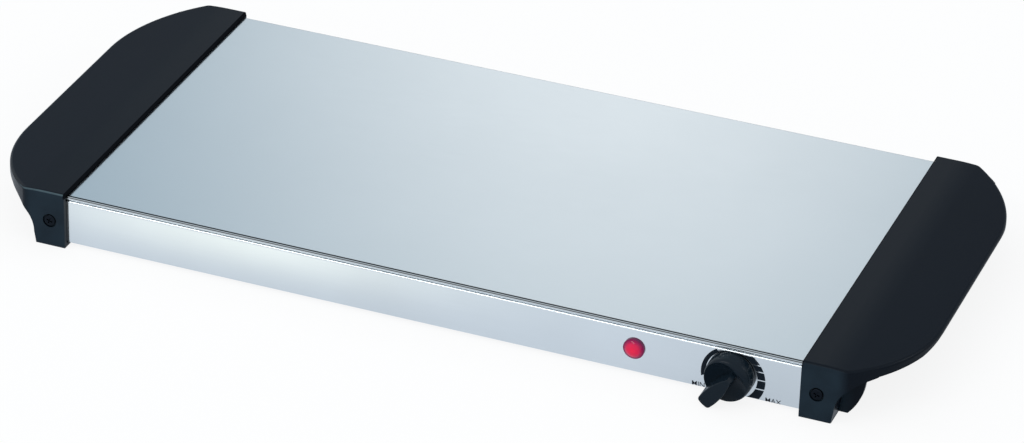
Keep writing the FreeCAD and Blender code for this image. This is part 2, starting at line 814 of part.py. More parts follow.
def element_clips():
    clips = []
    t = sheet
    inner = element_radius + clip_gap
    half = clip_half_width
    foot = rivet_offset + rivet_head_radius + 0.4
    for x, y in clip_places():
        outer = rod(inner + t, V(x - half, y, element_z), V(x + half, y, element_z))
        cheeks = block(x - half, x + half, y - inner - t, y + inner + t, element_z, spreader_bottom)
        feet = block(x - half, x + half, y - foot, y + foot, spreader_bottom - t, spreader_bottom)
        clip = joined(outer, [cheeks, feet])
        clip = clip.cut(rod(inner, V(x - half - 1, y, element_z), V(x + half + 1, y, element_z)))
        slot = block(x - half - 1, x + half + 1, y - inner, y + inner, element_z, spreader_bottom + 1)
        clip = clip.cut(slot)
        clip = clip.common(block(x - half, x + half, y - foot - 1, y + foot + 1, 0, spreader_bottom))
        for side in (-1, 1):
            clip = clip.cut(rivet_hole(x, y + rivet_offset * side))
        clips.append(clip)
    return Part.makeCompound(clips)


def clip_rivets():
    rivets = []
    top = spreader_bottom + spreader_thickness
    low = spreader_bottom - sheet
    for x, y in rivet_places():
        head = rod(rivet_head_radius, V(x, y, low - rivet_head_height), V(x, y, low))
        rivets.append(joined(rod(rivet_radius, V(x, y, low), V(x, y, top)), [head]))
    return Part.makeCompound(rivets)


def insulation_board():
    low = shield_bottom + shield_sheet
    return block(-heater_half_length, heater_half_length, heater_front, heater_back, low, low + insulation_thickness)


def heat_shield():
    t = shield_sheet
    low = shield_bottom
    high = low + t + insulation_thickness - 1.0
    gap = shield_gap
    x = heater_half_length + gap
    tray = block(-x - t, x + t, heater_front - gap - t, heater_back + gap + t, low, high)
    tray = tray.cut(block(-x, x, heater_front - gap, heater_back + gap, low + t, high + 1))
    return tray


def support_bars():
    bars = []
    low = pan_floor
    first = -right_end + bar_first_inset
    last = right_end - bar_last_inset
    front = element_first_y
    back = element_last_y
    half = bar_half_width
    middle_z = (low + shield_bottom) / 2
    for k in range(bar_count):
        x = first + (last - first) * k / (bar_count - 1)
        bar = block(x - half, x + half, front, back, low, shield_bottom)
        bar = bar.cut(block(x - half + sheet, x + half - sheet, front - 1, back + 1, low - 1, shield_bottom - sheet))
        for side in (-1, 1):
            edge = x + side * half
            foot_end = edge + side * bar_foot
            foot = block(min(edge, foot_end), max(edge, foot_end), front, back, low, low + sheet)
            bar = joined(bar, [foot])
        for i in range(4):
            y = front + (back - front) * (i + 0.5) / 4
            bar = bar.cut(rod(4.5, V(x - half - 1, y, middle_z), V(x + half + 1, y, middle_z)))
        bars.append(bar)
    return Part.makeCompound(bars)


def thermal_fuse():
    x = fuse_x
    z = element_z
    body = rod(fuse_radius, V(x, fuse_front, z), V(x, fuse_back, z))
    ends = [rod(0.6, V(x, fuse_front - fuse_lead_length, z), V(x, fuse_front, z))]
    ends.append(taper(1.4, 0.8, V(x, fuse_back, z), V(x, fuse_back + fuse_tail_length, z)))
    return joined(body, ends)


def fuse_clip():
    x = fuse_x
    t = fuse_clip_sheet
    inner = fuse_radius + clip_gap
    front = fuse_front + fuse_length / 4
    back = fuse_back - fuse_length / 4
    outer = block(x - inner - t, x + inner + t, front, back, element_z - inner - t, spreader_bottom)
    outer = outer.cut(block(x - inner, x + inner, front - 1, back + 1, element_z - inner, spreader_bottom + 1))
    foot = block(x - inner - 9.9, x - inner, front, back, spreader_bottom - t, spreader_bottom)
    return joined(outer, [foot])


def cord_gland():
    x = gland_x
    z = gland_z
    back = plate_depth
    face = back + gland_flange_height
    flange = rod(gland_flange_radius, V(x, back, z), V(x, face, z))
    rim = [e for e in flange.Edges if abs(e.CenterOfMass.y - face) < 0.01]
    flange = flange.makeFillet(1.2, rim)
    neck = rod(gland_radius, V(x, back - gland_neck, z), V(x, back, z))
    lip = taper(gland_radius + 0.9, gland_radius + 0.1, V(x, back - sheet - fit_gap, z), V(x, back - sheet - 3.5, z))
    gland = joined(flange, [neck, lip])
    return gland.cut(rod(gland_bore, V(x, back - 20, z), V(x, back + 9, z)))


def pole_x(i):
    return block_x + pole_pitch * (i + 0.5)


def clamp_screw_y():
    return (block_y + 5, block_y + block_depth - 5)


def terminal_block():
    low = pan_floor
    front = block_y
    back = block_y + block_depth
    z = pole_z
    top = low + block_height
    shell = block(block_x, block_x + pole_count * pole_pitch, front, back, low, top)
    for i in range(pole_count):
        x = pole_x(i)
        shell = shell.cut(rod(2.5, V(x, front - 1, z), V(x, back + 1, z)))
        for y in clamp_screw_y():
            shell = shell.cut(rod(2.1, V(x, y, z), V(x, y, top + 1)))
    for i in range(pole_count - 1):
        x = block_x + pole_pitch * (i + 1)
        shell = shell.cut(block(x - 0.6, x + 0.6, front - 1, back + 1, top - 3, top + 1))
    return shell


def terminal_inserts():
    front = block_y
    back = block_y + block_depth
    z = pole_z
    inserts = []
    for i in range(pole_count):
        x = pole_x(i)
        barrel = rod(2.4, V(x, front + 1, z), V(x, back - 1, z))
        barrel = barrel.cut(rod(wire_radius + wire_gap, V(x, front, z), V(x, back, z)))
        screws = []
        for y in clamp_screw_y():
            screws.append(rod(1.5, V(x, y, z + 1.8), V(x, y, z + pole_height)))
        inserts.append(joined(barrel, screws))
    return Part.makeCompound(inserts)


def inner_wires():
    wires = {}
    z = pole_z
    end_y = block_y + 2.0
    hot_x = dial_x - blade_offset
    out_x = dial_x + blade_offset
    low_blade_z = dial_z - 2.6
    high_blade_z = dial_z + 1.6
    blade_end = blade_back + 0.5
    front_y = heater_front - 3.0
    feed_y = heater_front - 9.0
    lamp_y = lamp_back + 0.2
    lamp_low_z = pan_floor + lamp_wire_radius + 1.0
    lamp_side = 1.6
    pin_end = element_end_x + pin_length + 0.5
    fuse_lead = fuse_front - fuse_lead_length - 0.2
    fuse_tail = fuse_back + fuse_tail_length + 0.2
    wires["live_wire"] = tube([
        V(pole_x(0), end_y, z),
        V(pole_x(0), front_y, z),
        V(hot_x, front_y, z),
        V(hot_x, front_y, low_blade_z),
        V(hot_x, blade_end, low_blade_z)], 3.0, wire_radius)
    wires["neutral_wire"] = tube([
        V(pole_x(2), end_y, z),
        V(pole_x(2), block_y - neutral_bend_gap, z),
        V(riser_x, block_y - neutral_bend_gap, z),
        V(riser_x, block_y - neutral_bend_gap, element_z),
        V(riser_x, element_last_y, element_z),
        V(pin_end, element_last_y, element_z)], 2.4, wire_radius)
    wires["lamp_return_wire"] = tube([
        V(lamp_x - lamp_side, lamp_y, lamp_z),
        V(lamp_x - lamp_side, lamp_y + lamp_return_reach, lamp_z),
        V(lamp_x - lamp_side, lamp_y + lamp_return_reach, lamp_low_z),
        V(lamp_x - lamp_side, block_y - return_bend_gap, lamp_low_z),
        V(pole_x(1), block_y - return_bend_gap, lamp_low_z),
        V(pole_x(1), block_y - return_bend_gap, z),
        V(pole_x(1), end_y, z)], 2.2, lamp_wire_radius)
    wires["lamp_feed_wire"] = tube([
        V(lamp_x + lamp_side, lamp_y, lamp_z),
        V(lamp_x + lamp_side, lamp_y + lamp_feed_reach, lamp_z),
        V(out_x + 1.4, lamp_y + lamp_feed_reach, lamp_z),
        V(out_x + 1.4, lamp_y + lamp_feed_reach, high_blade_z),
        V(out_x + 1.4, blade_back + 0.4, high_blade_z)], 1.6, lamp_wire_radius)
    wires["element_feed_wire"] = tube([
        V(out_x, blade_end, low_blade_z),
        V(out_x, feed_y, low_blade_z),
        V(fuse_x - fuse_bend_side, feed_y, low_blade_z),
        V(fuse_x - fuse_bend_side, fuse_lead - fuse_lead_bend, low_blade_z),
        V(fuse_x, fuse_lead - fuse_lead_bend, low_blade_z),
        V(fuse_x, fuse_lead - fuse_lead_bend, element_z),
        V(fuse_x, fuse_lead, element_z)], 2.2, wire_radius)
    wires["element_lead_wire"] = tube([
        V(fuse_x, fuse_tail, element_z),
        V(fuse_x, fuse_tail + fuse_tail_bend, element_z),
        V(riser_x, fuse_tail + fuse_tail_bend, element_z),
        V(riser_x, element_first_y, element_z),
        V(pin_end, element_first_y, element_z)], 2.2, wire_radius)
    tag_z = pan_floor + earth_tag_sheet + wire_radius + 0.1
    wires["earth_wire"] = tube([
        V(pole_x(3), end_y, z),
        V(pole_x(3), block_y - earth_bend_gap, z),
        V(earth_x, block_y - earth_bend_gap, z),
        V(earth_x, block_y - earth_bend_gap, tag_z),
        V(earth_x, earth_y - earth_tag_radius - 2.2, tag_z)], 2.2, wire_radius)
    return wires


def earth_screw():
    x = earth_x
    y = earth_y
    shank = rod(screw_radius, V(x, y, pan_bottom), V(x, y, pan_floor + 8.7))
    head = rod(3.6, V(x, y, pan_bottom - 1.6), V(x, y, pan_bottom))
    return joined(shank, [head])


def earth_nut():
    x = earth_x
    y = earth_y
    low = pan_floor + earth_tag_sheet
    corners = []
    for i in range(6):
        a = math.radians(60 * i)
        corners.append(V(x + 4.04 * math.cos(a), y + 4.04 * math.sin(a), low))
    nut = polygon(corners, V(0, 0, 3.0))
    return nut.cut(rod(screw_radius + 0.03, V(x, y, low - 1), V(x, y, low + 4)))


def earth_tag():
    x = earth_x
    y = earth_y
    low = pan_floor
    t = earth_tag_sheet
    out = y - earth_tag_radius - 2.0
    ring = rod(earth_tag_radius, V(x, y, low), V(x, y, low + t))
    tongue = block(x - 2.0, x + 2.0, out, y - 3.0, low, low + t)
    riser = block(x - 2.0, x + 2.0, out, out + 1.8, low, low + t + 2.6)
    tag = joined(ring, [tongue, riser])
    return tag.cut(rod(screw_radius + 0.1, V(x, y, low - 1), V(x, y, low + t + 1)))


def all_nodes():
    right = end_cap()
    nodes = {
        "top_plate": top_plate(),
        "housing_pan": housing_pan(),
        "end_walls": end_walls(),
        "right_end_cap": right,
        "left_end_cap": mirrored_x(right),
        "cap_screws": cap_screws(),
        "cap_nuts": cap_nuts(),
        "indicator_lens": indicator_lens(),
        "neon_lamp": neon_lamp(),
        "lamp_clip": lamp_clip(),
        "knob": knob(),
        "knob_shaft": knob_shaft(),
        "thermostat_frame": thermostat_frame(),
        "bush_nut": bush_nut(),
        "thermostat_stack": thermostat_stack(),
        "thermostat_blades": thermostat_blades(),
        "heat_spreader": heat_spreader(),
        "heating_element": heating_element(),
        "element_pins": element_pins(),
        "element_clips": element_clips(),
        "clip_rivets": clip_rivets(),
        "insulation_board": insulation_board(),
        "heat_shield": heat_shield(),
        "support_bars": support_bars(),
        "thermal_fuse": thermal_fuse(),
        "fuse_clip": fuse_clip(),
        "cord_gland": cord_gland(),
        "terminal_block": terminal_block(),
        "terminal_inserts": terminal_inserts(),
        "earth_screw": earth_screw(),
        "earth_nut": earth_nut(),
        "earth_tag": earth_tag(),
    }
    nodes.update(inner_wires())
    return nodes


middle_y = (cap_back - knob_face) / 2
os.makedirs("parts", exist_ok=True)
for name, shape in all_nodes().items():
    moved = shape.copy()
    moved.translate(V(0, -middle_y, 0))
    print(name, len(moved.Solids), moved.isValid(), round(moved.Volume, 1))
    moved.exportStep("parts/" + name + ".step")
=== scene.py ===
import math

import bmesh
import bpy
import numpy as np
from mathutils import Matrix, Vector


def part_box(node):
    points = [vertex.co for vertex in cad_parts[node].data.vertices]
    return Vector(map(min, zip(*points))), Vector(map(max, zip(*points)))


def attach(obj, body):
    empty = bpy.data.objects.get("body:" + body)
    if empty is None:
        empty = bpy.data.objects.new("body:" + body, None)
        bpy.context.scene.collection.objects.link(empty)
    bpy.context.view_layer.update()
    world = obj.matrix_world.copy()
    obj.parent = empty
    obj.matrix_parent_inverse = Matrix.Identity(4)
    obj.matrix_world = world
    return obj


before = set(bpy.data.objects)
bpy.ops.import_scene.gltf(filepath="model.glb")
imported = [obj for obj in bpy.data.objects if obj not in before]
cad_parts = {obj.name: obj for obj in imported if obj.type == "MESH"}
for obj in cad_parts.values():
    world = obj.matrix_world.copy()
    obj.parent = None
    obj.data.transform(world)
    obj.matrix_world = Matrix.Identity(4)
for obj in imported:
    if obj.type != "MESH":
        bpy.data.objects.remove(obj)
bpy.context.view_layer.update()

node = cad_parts

# The hot surface: one satin stainless sheet, its grain running along the length from the belt that
# finished it, with its long edges rolled under. The grain and the faint cloudiness are shared by the
# other bare metals, so they are a node group that each finish sets for itself.


def fill(tree, socket, value):
    """A socket gets a link from another socket, or a plain value."""
    if isinstance(value, bpy.types.NodeSocket):
        tree.links.new(value, socket)
    else:
        socket.default_value = value


def calc(tree, operation, *values, kind="ShaderNodeMath"):
    """One math node: the operation on sockets and plain values, in the order of its open sockets."""
    made = tree.nodes.new(kind)
    made.operation = operation
    for socket, value in zip([s for s in made.inputs if s.enabled], values):
        fill(tree, socket, value)
    return [s for s in made.outputs if s.enabled][0]


def calc_3d(tree, operation, *values):
    """The same for colours and places."""
    return calc(tree, operation, *values, kind="ShaderNodeVectorMath")


def object_place(tree):
    """Where a point of the piece lies, in metres."""
    return tree.nodes.new("ShaderNodeTexCoord").outputs["Object"]


def split(tree, vector):
    """The X, Y and Z outputs of a vector."""
    made = tree.nodes.new("ShaderNodeSeparateXYZ")
    tree.links.new(vector, made.inputs[0])
    return made.outputs


def noise(tree, vector, scale, detail, roughness=0.5):
    """A noise from 0 to 1 with this many cells to a metre."""
    made = tree.nodes.new("ShaderNodeTexNoise")
    made.inputs["Scale"].default_value = scale
    made.inputs["Detail"].default_value = detail
    made.inputs["Roughness"].default_value = roughness
    tree.links.new(vector, made.inputs["Vector"])
    return made.outputs[0]


def remap(tree, value, before, after=(0, 1), curve="LINEAR"):
    """The span before becomes the span after, and values past either end stay at the end."""
    made = tree.nodes.new("ShaderNodeMapRange")
    made.interpolation_type = curve
    for label, bound in zip(("From Min", "From Max", "To Min", "To Max"), before + after):
        made.inputs[label].default_value = bound
    tree.links.new(value, made.inputs["Value"])
    return made.outputs[0]


def ramp(tree, value, stops):
    """A colour read off a row of (position, colour) stops, the first at 0 and the last at 1."""
    made = tree.nodes.new("ShaderNodeValToRGB")
    row = made.color_ramp.elements
    row[0].color, row[1].color = stops[0][1], stops[-1][1]
    for position, colour in stops[1:-1]:
        row.new(position).color = colour
    tree.links.new(value, made.inputs["Fac"])
    return made.outputs["Color"]


def grain_group():
    """Height and tone of a belt finish: noise stretched along X, tone = 1 + depth * (noise - 1/2)
    + cloud * (slow noise - 1/2)."""
    group = bpy.data.node_groups.new("belt_grain", "ShaderNodeTree")
    for label in ("Along", "Across", "Depth", "Cloud"):
        group.interface.new_socket(label, in_out="INPUT", socket_type="NodeSocketFloat")
    for label in ("Height", "Tone"):
        group.interface.new_socket(label, in_out="OUTPUT", socket_type="NodeSocketFloat")
    given, out = group.nodes.new("NodeGroupInput"), group.nodes.new("NodeGroupOutput")
    place = object_place(group)
    stretch = group.nodes.new("ShaderNodeCombineXYZ")
    for axis, label in enumerate(("Along", "Across", "Across")):
        group.links.new(given.outputs[label], stretch.inputs[axis])
    streaks = noise(group, calc_3d(group, "MULTIPLY", place, stretch.outputs[0]), 1.0, 4.0, 0.65)
    clouds = noise(group, place, 9.0, 3.0)
    terms = [
        calc(group, "MULTIPLY", calc(group, "SUBTRACT", texture, 0.5), given.outputs[amount])
        for texture, amount in ((streaks, "Depth"), (clouds, "Cloud"))
    ]
    group.links.new(streaks, out.inputs["Height"])
    group.links.new(calc(group, "ADD", calc(group, "ADD", *terms), 1.0), out.inputs["Tone"])
    return group


belt_grain = grain_group()


def new_material(name):
    """A material with its node tree and its shader."""
    material = bpy.data.materials.new(name)
    material.use_nodes = True
    return material, material.node_tree, material.node_tree.nodes["Principled BSDF"]


def relief(material, height, strength, depth):
    """The surface leans as the height does, over a depth in metres."""
    tree = material.node_tree
    bump = tree.nodes.new("ShaderNodeBump")
    bump.inputs["Strength"].default_value = strength
    bump.inputs["Distance"].default_value = depth
    tree.links.new(height, bump.inputs["Height"])
    tree.links.new(bump.outputs[0], tree.nodes["Principled BSDF"].inputs["Normal"])


def grained(name, colour, grain_sizes, tones, roughnesses):
    """A bare metal: colour times the grain's tone, with a roughness that follows the tone."""
    material, tree, shader = new_material(name)
    shader.inputs["Metallic"].default_value = 1.0
    grain = tree.nodes.new("ShaderNodeGroup")
    grain.node_tree = belt_grain
    for label, value in zip(("Along", "Across", "Depth", "Cloud"), grain_sizes):
        grain.inputs[label].default_value = value
    tone = grain.outputs["Tone"]
    tree.links.new(calc_3d(tree, "SCALE", colour, tone), shader.inputs["Base Color"])
    tree.links.new(remap(tree, tone, tones, roughnesses), shader.inputs["Roughness"])
    return material, grain.outputs["Height"]


def metal(name, colour, roughness, along=6.0, across=900.0, depth=0.2, cloud=0.05, lean=0.02):
    """A ground or brushed metal, a quarter rougher where the grain is dark and smoother where it is pale."""
    roughnesses = (roughness * 1.25, roughness * 0.75)
    material, height = grained(name, colour, (along, across, depth, cloud), (0.9, 1.1), roughnesses)
    relief(material, height, lean, 0.0002)
    return material


def finish(material, *names):
    """Each named CAD node wears the one material."""
    for name in names:
        node[name].data.materials.clear()
        node[name].data.materials.append(material)


def painted_roll_shade(material, piece):
    """Two fine dark lines of painted shade and painted dark reflection on top of the front roll:
    colour * shade(distance behind the piece's front).
    """
    low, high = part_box(piece)
    reach, roll_radius = 0.004, 0.00125
    shades_by_mm = (
        (0.08, 1), (0.22, 0.08), (0.55, 0.08), (0.75, 0.80),
        (1.15, 0.80), (1.35, 0.0), (2.55, 0.0), (2.85, 1),
    )
    stops = [(mm / 1000 / reach, (shade, shade, shade, 1)) for mm, shade in shades_by_mm]
    white = (1, 1, 1, 1)
    tree = material.node_tree
    place = split(tree, object_place(tree))
    behind = remap(tree, place["Y"], (low.y, low.y + reach))
    under = calc(tree, "LESS_THAN", place["Z"], high.z - roll_radius)
    shade = ramp(tree, calc(tree, "ADD", behind, under), [(0, white)] + stops + [(1, white)])
    colour = tree.nodes["Principled BSDF"].inputs["Base Color"]
    tree.links.new(calc_3d(tree, "MULTIPLY", colour.links[0].from_socket, shade), colour)


satin_plate = metal(
    "satin_plate", (0.68, 0.727, 0.758), 0.20, along=60.0, across=800.0, depth=0.035, cloud=0.03, lean=0.012)
# Painted shade and painted dark reflection: two fine dark lines along the plate's front roll.
painted_roll_shade(satin_plate, "top_plate")
finish(satin_plate, "top_plate")

# The housing pan: bright annealed sheet, folded into a shallow channel. It is nearly a mirror, with the
# slight waves that thin folded sheet has, so what it mirrors wobbles.


def bright_sheet(name, colour, roughness, wave):
    """A bright sheet with soft clouds, and a normal that leans with a slow noise of a few centimetres."""
    roughnesses = (roughness * 1.3, roughness * 0.8)
    material = grained(name, colour, (14.0, 1400.0, 0.05, 0.22), (0.95, 1.05), roughnesses)[0]
    tree = material.node_tree
    relief(material, noise(tree, object_place(tree), 22.0, 1.0), wave, 0.001)
    return material


finish(bright_sheet("bright_pan", (0.775, 0.815, 0.835), 0.12, 0.25), "housing_pan")

# The end caps: black heat-proof mouldings with a fine spark-eroded grain. Their front faces carry a painted
# reflection and the left one's front rim a painted highlight, both paler, and the low wall beside the hot
# surface is painted shade, darker.


def moulded(name, colour, roughness, grain_size, lean, mottle=0.08, gloss=0.5):
    """A moulded plastic: fine relief, and colour * (1 - mottle + 2 * mottle * slow noise)."""
    material, tree, shader = new_material(name)
    shader.inputs["Specular IOR Level"].default_value = gloss
    place = object_place(tree)
    fine = noise(tree, place, 1.0 / grain_size, 3.0)
    slow = noise(tree, place, 14.0, 2.0)
    tone = remap(tree, slow, (0, 1), (1 - mottle, 1 + mottle))
    rough = remap(tree, fine, (0, 1), (roughness * 0.85, roughness * 1.15))
    tree.links.new(calc_3d(tree, "SCALE", colour, tone), shader.inputs["Base Color"])
    tree.links.new(rough, shader.inputs["Roughness"])
    relief(material, fine, lean, 0.0001)
    return material


def mixed(tree, share, first, second, kind="RGBA"):
    """first * (1 - share) + second * share."""
    made = tree.nodes.new("ShaderNodeMix")
    made.data_type = kind
    values = {"Factor": share, "A": first, "B": second}
    for socket in made.inputs:
        if socket.enabled and socket.name in values:
            fill(tree, socket, values[socket.name])
    return [s for s in made.outputs if s.enabled][0]


def product(tree, first, *factors):
    """All factors multiplied."""
    for factor in factors:
        first = calc(tree, "MULTIPLY", first, factor)
    return first


def cap_painted_light(material):
    """Painted light and shade where three masks lie, each a product of smooth steps in place, facing and
    noise:
    a painted reflection on the front faces, a painted highlight on the left cap's front rim, and painted
    shade, with full roughness, on the low wall beside the hot surface."""
    tree = material.node_tree

    def step(value, start, end):
        return remap(tree, value, (start, end), curve="SMOOTHSTEP")

    cap_side, plate_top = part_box("right_end_cap")[0].x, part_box("top_plate")[1].z
    coordinates = tree.nodes.new("ShaderNodeTexCoord").outputs
    facing, place = split(tree, coordinates["Normal"]), split(tree, coordinates["Object"])
    aside = calc(tree, "ABSOLUTE", place["X"])
    patchy = noise(tree, coordinates["Object"], 60.0, 2.0)
    # Painted reflection: the front faces paler.
    face = product(
        tree,
        step(facing["Y"], -0.70, -0.95),
        step(aside, cap_side + 0.032, cap_side + 0.022),
        step(patchy, -0.30, 0.80))
    # Painted highlight: the left cap's front rim paler.
    rim = product(
        tree,
        step(facing["Z"], 0.25, 0.55),
        step(facing["Y"], -0.45, -0.65),
        step(place["X"], 0.24, 0.10),
        step(patchy, 0.25, 0.60))
    # Painted shade: the low wall beside the hot surface near black.
    wall = product(
        tree,
        step(aside, cap_side + 0.0010, cap_side + 0.0006),
        step(place["Z"], plate_top - 0.0006, plate_top - 0.0002))
    shader = tree.nodes["Principled BSDF"]
    # The painted colours: paler for the painted reflection and highlight, near black for the painted shade.
    for share, label, toned, kind in (
        (face, "Base Color", (0.011, 0.021, 0.031, 1), "RGBA"),
        (rim, "Base Color", (0.055, 0.085, 0.100, 1), "RGBA"),
        (wall, "Base Color", (0.001, 0.0015, 0.003, 1), "RGBA"),
        (wall, "Roughness", 1.0, "FLOAT"),
    ):
        socket = shader.inputs[label]
        tree.links.new(mixed(tree, share, socket.links[0].from_socket, toned, kind), socket)


black_cap = moulded("black_cap", (0.0024, 0.0046, 0.0086), 0.30, 0.0006, 0.25, gloss=0.105)
black_cap.node_tree.nodes["Principled BSDF"].inputs["Specular Tint"].default_value = (0.85, 0.93, 1.0, 1)
# The caps' painted reflection, painted highlight and painted shade.
cap_painted_light(black_cap)
finish(black_cap, "right_end_cap", "left_end_cap")

# The cap screws and their nuts: M4 steel, black passivated at the head. They hold the caps to the pan's
# panels from outside. The other small plated parts, all zinc, share the nuts' finish.

dark_screw = metal("dark_screw", (0.010, 0.013, 0.018), 0.35, along=300.0, across=300.0, depth=0.3, lean=0.1)
finish(dark_screw, "cap_screws")
zinc_small = metal("zinc_small", (0.60, 0.62, 0.64), 0.32, along=400.0, across=400.0, depth=0.25, lean=0.1)
finish(zinc_small, "cap_nuts", "earth_screw", "earth_nut", "bush_nut", "element_pins")

# The pilot lamp: a clear red moulded lens over a neon lamp, pushed through the panel from the front and
# held behind it by a spring washer of tempered steel.


def clear_red(piece):
    """Red through and through, with painted shade darker to the rim: colour = ramp(distance from the lens's
    axis / radius).
    """
    low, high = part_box(piece)
    material, tree, shader = new_material("lens_red")
    for label, value in (
        ("Roughness", 0.12),
        ("Specular IOR Level", 0.25),
        ("Coat Weight", 0.05),
        ("Coat Roughness", 0.05),
        ("Subsurface Weight", 0.2),
        ("Subsurface Radius", (1.0, 0.2, 0.2)),
        ("Subsurface Scale", 0.003),
    ):
        shader.inputs[label].default_value = value
    centred = tree.nodes.new("ShaderNodeMapping")
    centred.inputs["Location"].default_value = (-(low.x + high.x) / 2, 0, -(low.z + high.z) / 2)
    centred.inputs["Scale"].default_value = (1, 0, 1)
    tree.links.new(object_place(tree), centred.inputs["Vector"])
    distance = calc_3d(tree, "LENGTH", centred.outputs[0])
    from_axis = remap(tree, distance, (0, (high.x - low.x) / 2))
    # Painted shade: the reds darken towards the rim.
    reds = [
        (0, (0.82, 0.012, 0.060, 1)),
        (0.60, (0.66, 0.008, 0.07, 1)),
        (0.82, (0.32, 0.002, 0.07, 1)),
        (1, (0.12, 0.0, 0.05, 1)),
    ]
    tree.links.new(ramp(tree, from_axis, reds), shader.inputs["Base Color"])
    return material


finish(clear_red("indicator_lens"), "indicator_lens")
finish(moulded("lamp_glass", (0.75, 0.55, 0.42), 0.1, 0.002, 0.02), "neon_lamp")
tempered = metal("tempered_steel", (0.30, 0.31, 0.33), 0.3, along=200.0, across=500.0)
finish(tempered, "lamp_clip", "fuse_clip")

# The control knob: one smooth black moulding with a bar grip, pushed on to the thermostat's turned brass
# spindle. The other brass parts share the spindle's finish.

finish(moulded("black_knob", (0.0052, 0.0105, 0.0165), 0.24, 0.0005, 0.08, gloss=0.12), "knob")
brass = metal("turned_brass", (0.78, 0.58, 0.28), 0.25, along=500.0, across=500.0, depth=0.15)
finish(brass, "knob_shaft", "thermostat_blades", "thermal_fuse", "terminal_inserts", "earth_tag")

# The scale printed round the knob: a dark band that widens clockwise, crossed by pale gaps on its right,
# with plain end words. The ink lies on the panel and follows its bends, so it rides with the tray. Its
# places are in metres: across from the knob's middle, and up from the panel's foot.


def on_panel(across, up):
    """Points on the panel's face, a film of ink proud of it: y = face + r - sqrt(r^2 - d^2) past each
    bend's start, where r is the bend's radius and d the way past its start."""
    low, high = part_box("housing_pan")
    knob_low, knob_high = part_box("knob")
    ink, foot_bend, top_bend = 0.00004, 0.002, 0.0012
    y = np.full_like(up, low.y - ink)
    for radius, past in ((foot_bend, foot_bend - up), (top_bend, low.z + up - high.z + top_bend)):
        past = np.clip(past, 0, radius)
        y += radius - np.sqrt(radius**2 - past**2)
    return np.stack([(knob_low.x + knob_high.x) / 2 + across, y, low.z + up], axis=-1)


def printed(name, grids):
    """One piece from grids of points: columns run outwards or to the right, rows anticlockwise or up."""
    points, faces = [], []
    for grid in grids:
        rows, columns = grid.shape[:2]
        number = len(points) + np.arange(rows * columns).reshape(rows, columns)
        corners = (number[:-1, :-1], number[:-1, 1:], number[1:, 1:], number[1:, :-1])
        faces += np.stack(corners, axis=-1).reshape(-1, 4).tolist()
        points += grid.reshape(-1, 3).tolist()
    mesh = bpy.data.meshes.new(name)
    mesh.from_pydata(points, [], faces)
    made = bpy.data.objects.new(name, mesh)
    bpy.context.scene.collection.objects.link(made)
    return made


def dial_band():
    """Between an outer and an inner circle, each (across, up, radius): over the top by angle, where both
    are cut level under the panel's bend, and on the right by height in five blocks."""
    outer, inner = (0.0013, 0.0129, 0.0210), (0.0003, 0.0140, 0.0168)
    level_top, level_strip = 0.0307, 0.0006
    blocks = ((0.0008, 0.0078), (0.0086, 0.0143), (0.0150, 0.0201), (0.0208, 0.0245), (0.0253, 0.0301))
    turn = np.radians(np.linspace(55, 191, 90))
    edges = []
    for (across, up, radius), ceiling in ((inner, level_top - level_strip), (outer, level_top)):
        height = np.minimum(up + radius * np.sin(turn), ceiling)
        edges.append(on_panel(across + radius * np.cos(turn), height))
    grids = [np.stack(edges, axis=1)]
    for low, high in blocks:
        height = np.linspace(low, high, 12)
        sides = []
        for across, up, radius in (inner, outer):
            off_middle = np.minimum(np.abs(height - up), radius)
            sides.append(on_panel(across + np.sqrt(radius**2 - off_middle**2), height))
        grids.append(np.stack(sides, axis=1))
    return printed("dial_band", grids)


def end_word(name, word, across_span, up_span):
    """A word in the plain built-in letters, cut into low strips, each point at share * span from the
    span's start, so that it can follow the panel's bend."""
    strips = 13
    curve = bpy.data.curves.new(name + "_letters", "FONT")
    curve.body = word
    curve.offset = 0.004
    letters = bpy.data.objects.new(name + "_letters", curve)
    flat = bpy.data.meshes.new_from_object(letters)
    bpy.data.objects.remove(letters)
    shape = bmesh.new()
    shape.from_mesh(flat)
    bpy.data.meshes.remove(flat)
    corners = np.array([v.co[:] for v in shape.verts])
    low, high = corners.min(axis=0), corners.max(axis=0)
    for level in np.linspace(low[1], high[1], strips + 1)[1:-1]:
        everything = shape.verts[:] + shape.edges[:] + shape.faces[:]
        bmesh.ops.bisect_plane(shape, geom=everything, plane_co=(0, level, 0), plane_no=(0, 1, 0))
    mesh = bpy.data.meshes.new(name)
    shape.to_mesh(mesh)
    shape.free()
    points = np.empty(len(mesh.vertices) * 3)
    mesh.vertices.foreach_get("co", points)
    share = (points.reshape(-1, 3)[:, :2] - low[:2]) / (high[:2] - low[:2])
    start, end = np.array([across_span, up_span]).T
    across, up = (start + share * (end - start)).T
    mesh.vertices.foreach_set("co", on_panel(across, up).ravel())
    made = bpy.data.objects.new(name, mesh)
    bpy.context.scene.collection.objects.link(made)
    return made


dial_ink = moulded("dial_ink", (0.008, 0.013, 0.020), 0.5, 0.0004, 0.1, gloss=0.05)
for print_piece in (
    dial_band(),
    end_word("low_word", "MIN", (-0.0250, -0.0168), (0.0005, 0.0039)),
    end_word("high_word", "MAX", (0.0229, 0.0331), (0.0002, 0.0036)),
):
    print_piece.data.materials.append(dial_ink)
    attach(print_piece, "tray")

# The inner works: zinc-plated sheet, an aluminium spreader, a heat-darkened element sheath, fibre board,
# ceramic and nylon insulators, and silicone-sleeved wires in their usual colours.

